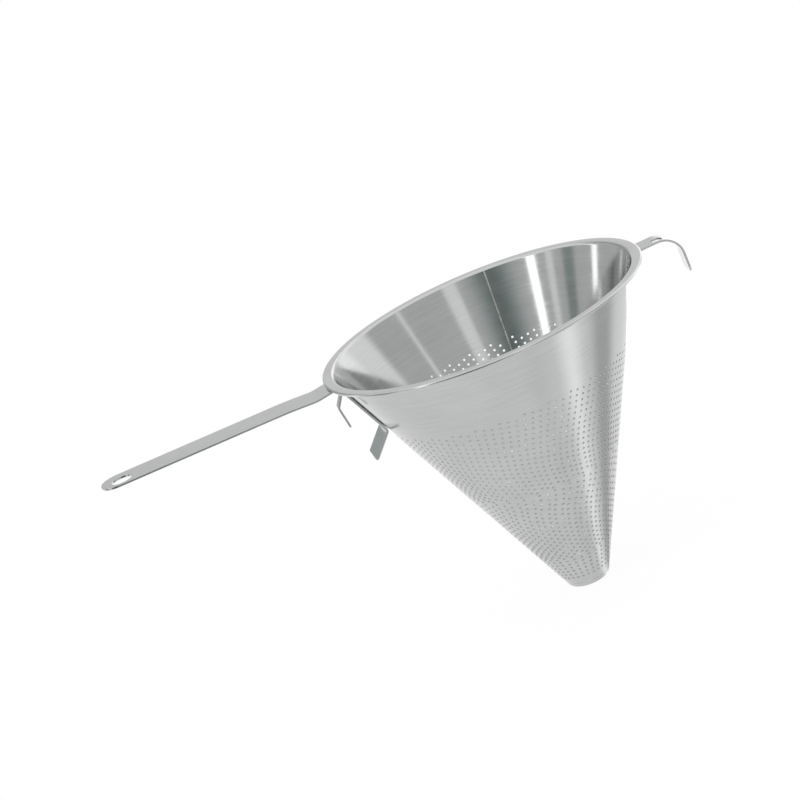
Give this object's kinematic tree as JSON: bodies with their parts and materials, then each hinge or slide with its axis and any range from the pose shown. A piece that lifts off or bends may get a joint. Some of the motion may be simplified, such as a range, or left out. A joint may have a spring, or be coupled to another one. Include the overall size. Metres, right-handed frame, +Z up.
{
  "type": "chinois strainer",
  "caption": "Perforated conical strainer with a rolled rim, a flat strap handle and a front hook that rests on a pot.",
  "frame": {"origin": "centre of the mouth, level with the top of the rim", "axes": "+Z up along the cone's axis out of the mouth, -X along the handle, +X towards the front hook"},
  "size_m": [0.4313, 0.2356, 0.2134],
  "materials": {
    "cone_sheet": "brushed stainless sheet",
    "strap_steel": "brushed stainless strap",
    "weld": "cleaned weld metal"
  },
  "bodies": {
    "root": {"cone_shell": "cone_sheet", "cone_seam_weld": "weld", "tip_cap": "cone_sheet", "tip_weld_ring": "weld", "handle_strap": "strap_steel", "handle_spot_welds": "weld", "pan_tongue": "strap_steel", "pan_tongue_weld": "weld", "front_hook": "strap_steel", "front_hook_spot_welds": "weld"}
  },
  "joints": []
}
